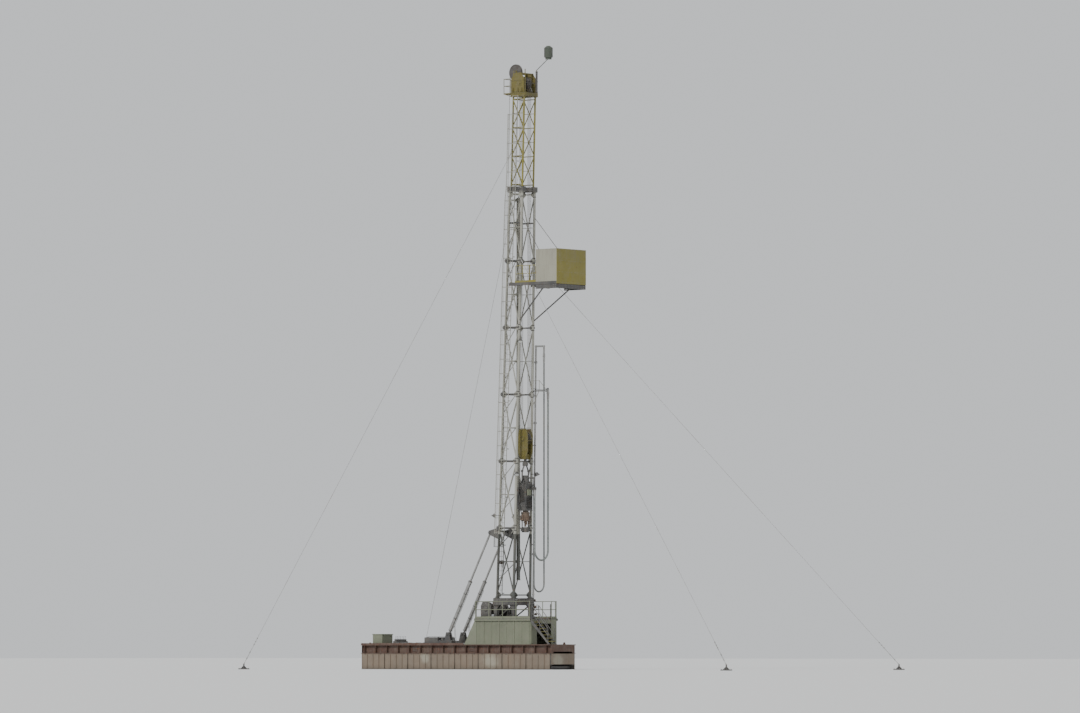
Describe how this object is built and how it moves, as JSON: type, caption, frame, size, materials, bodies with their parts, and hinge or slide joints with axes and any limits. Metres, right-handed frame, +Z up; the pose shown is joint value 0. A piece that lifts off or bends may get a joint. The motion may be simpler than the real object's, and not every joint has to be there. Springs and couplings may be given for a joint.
{
  "type": "oil drilling rig",
  "caption": "Guyed lattice drilling mast on a skid base with drill floor, racking board, crown, hanging hoses and a travelling block with top drive that runs up the mast.",
  "frame": {"origin": "well centre on the ground, under the rotary table's bore", "axes": "+X forward over the ramp side, +Y towards the hose side, +Z up"},
  "size_m": [39.2, 17.5, 39.04],
  "materials": {
    "mast_white": "weathered gloss",
    "rig_yellow": "weathered gloss",
    "green_grey": "weathered matte",
    "oxide_red": "weathered matte",
    "panel_beige": "dusty matte",
    "cream": "weathered satin",
    "dark_steel": "worn satin",
    "bare_steel": "worn",
    "cast": "worn",
    "brown": "worn satin",
    "hose_rubber": "dusty matte",
    "lamp_green": "gloss"
  },
  "bodies": {
    "rig": {"base_runners": "dark_steel", "base_crossbeams": "dark_steel", "base_beams": "oxide_red", "base_deck": "oxide_red", "base_panels_near": "panel_beige", "base_panels_far": "panel_beige", "base_panels_ends": "panel_beige", "ram_base": "dark_steel", "sub_frame": "green_grey", "floor_wall_near": "green_grey", "floor_wall_far": "green_grey", "floor_wall_rear": "green_grey", "floor_wall_front": "green_grey", "drill_floor": "dark_steel", "rotary_table": "cast", "floor_rails": "green_grey", "stairs": "dark_steel", "stair_rails": "dark_steel", "drawworks_frame": "dark_steel", "drawworks_drum": "cast", "mast_pedestal": "dark_steel", "mast_near": "mast_white", "mast_far": "mast_white", "mast_back": "mast_white", "mast_collar": "dark_steel", "top_near": "rig_yellow", "top_far": "rig_yellow", "top_back": "rig_yellow", "crown_frame": "rig_yellow", "crown_cheeks": "rig_yellow", "crown_sheaves": "cast", "fast_sheave": "cast", "beacon": "lamp_green", "board_frame": "dark_steel", "board_floor": "dark_steel", "board_fingers": "rig_yellow", "board_wall_near": "cream", "board_wall_far": "cream", "board_wall_front": "rig_yellow", "standpipe": "bare_steel", "ram_yoke": "dark_steel", "ram_barrels": "bare_steel", "ram_rods": "bare_steel", "fast_line": "bare_steel", "dead_line": "bare_steel", "guys_front": "bare_steel", "guys_rear": "bare_steel", "guy_anchors": "dark_steel", "rotary_hose": "hose_rubber", "service_loop": "hose_rubber", "drill_lines": "bare_steel"},
    "travelling_block": {"block_frame": "rig_yellow", "block_sheaves": "cast", "bail": "dark_steel", "top_drive": "dark_steel", "pipe_handler": "brown", "elevator": "dark_steel"}
  },
  "joints": [
    {"name": "block_travel", "type": "slide", "parent": "rig", "child": "travelling_block", "axis": [0, 0, 1], "range_m": [-3.6, 12], "deforming": ["drill_lines", "rotary_hose", "service_loop"]}
  ]
}
